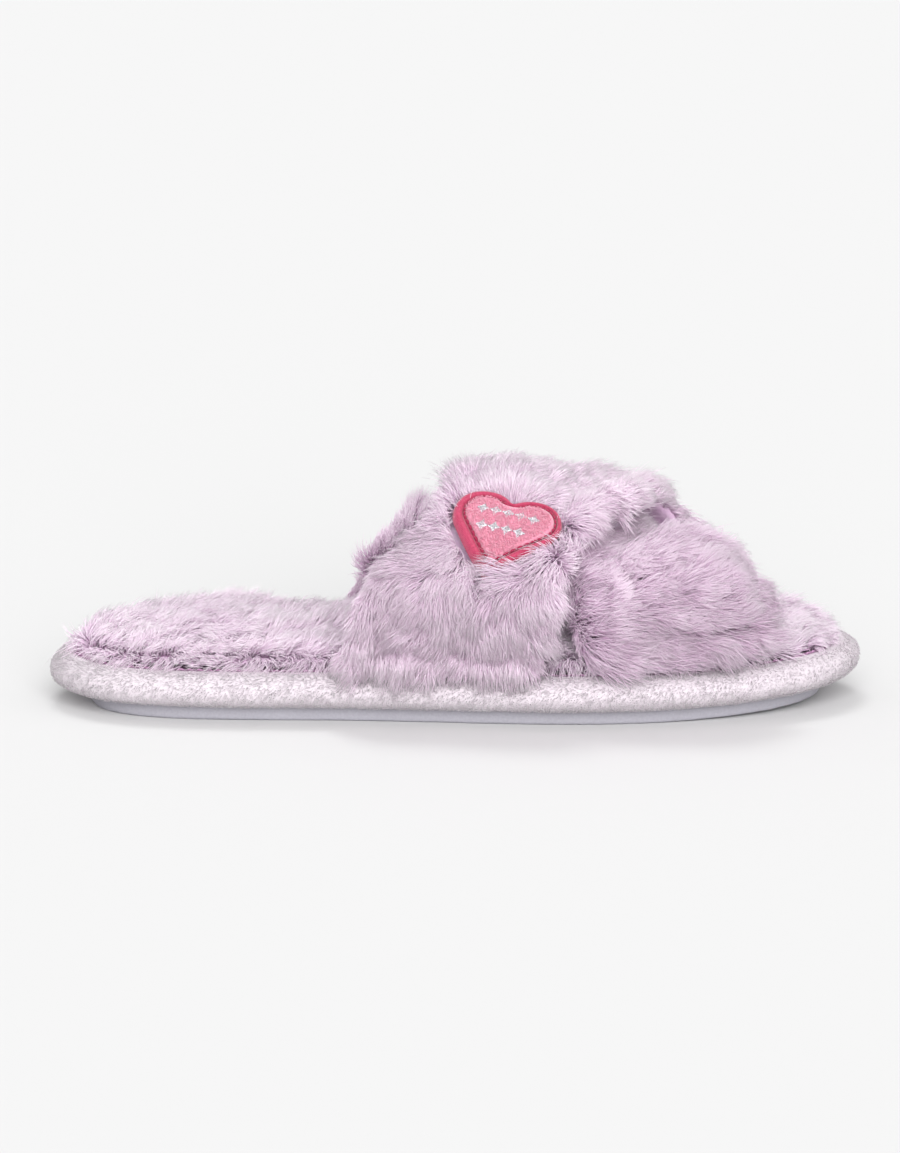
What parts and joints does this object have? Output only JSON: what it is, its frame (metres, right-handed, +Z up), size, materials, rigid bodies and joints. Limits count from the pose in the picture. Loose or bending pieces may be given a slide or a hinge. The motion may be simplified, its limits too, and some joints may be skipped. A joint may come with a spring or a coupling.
{
  "type": "house slipper",
  "caption": "Open-toe, open-heel fur slide slipper with two crossing padded straps, a fur footbed, a plush-wrapped sole edge and an embroidered heart patch.",
  "frame": {"origin": "middle of the slipper's outer box, on the surface that it stands on", "axes": "+X to the toe, +Y to the inner side of the foot, +Z up"},
  "size_m": [0.25, 0.1052, 0.0768],
  "materials": {
    "outsole_rubber": "smooth moulded grey-lilac side, finely pebbled underside",
    "wrap_plush": "short pale pinkish-lilac plush, matt with a soft sheen",
    "wrap_thread": "matt sewing thread",
    "white_foam": "matt open-cell foam, off-white",
    "board": "plain brown insole board",
    "footbed_fur": "long-pile faux fur, lilac with paler tips",
    "strap_fur": "long-pile faux fur, lilac with paler tips, clumped in tufts",
    "strap_lining": "short brushed lining cloth",
    "patch_satin": "crimson satin-stitch embroidery with a thread sheen",
    "patch_dark_thread": "dark crimson thread",
    "patch_felt": "raised pink embroidery",
    "silver_thread": "metallic silver thread"
  },
  "bodies": {
    "root": {"outsole": "outsole_rubber", "side_wrap": "wrap_plush", "midsole_foam": "white_foam", "insole_board": "board", "footbed_foam": "white_foam", "footbed_fur": "footbed_fur", "sole_seam_thread": "wrap_thread", "front_strap_lining": "strap_lining", "front_strap_padding": "white_foam", "front_strap_fur": "strap_fur", "rear_strap_lining": "strap_lining", "rear_strap_padding": "white_foam", "rear_strap_fur": "strap_fur", "patch_backing": "patch_satin", "patch_border": "patch_satin", "patch_border_thread": "patch_dark_thread", "patch_centre": "patch_felt", "patch_star_upper_1": "silver_thread", "patch_star_upper_2": "silver_thread", "patch_star_upper_3": "silver_thread", "patch_star_upper_4": "silver_thread", "patch_star_upper_5": "silver_thread", "patch_star_lower_1": "silver_thread", "patch_star_lower_2": "silver_thread", "patch_star_lower_3": "silver_thread", "patch_star_lower_4": "silver_thread"}
  },
  "joints": []
}
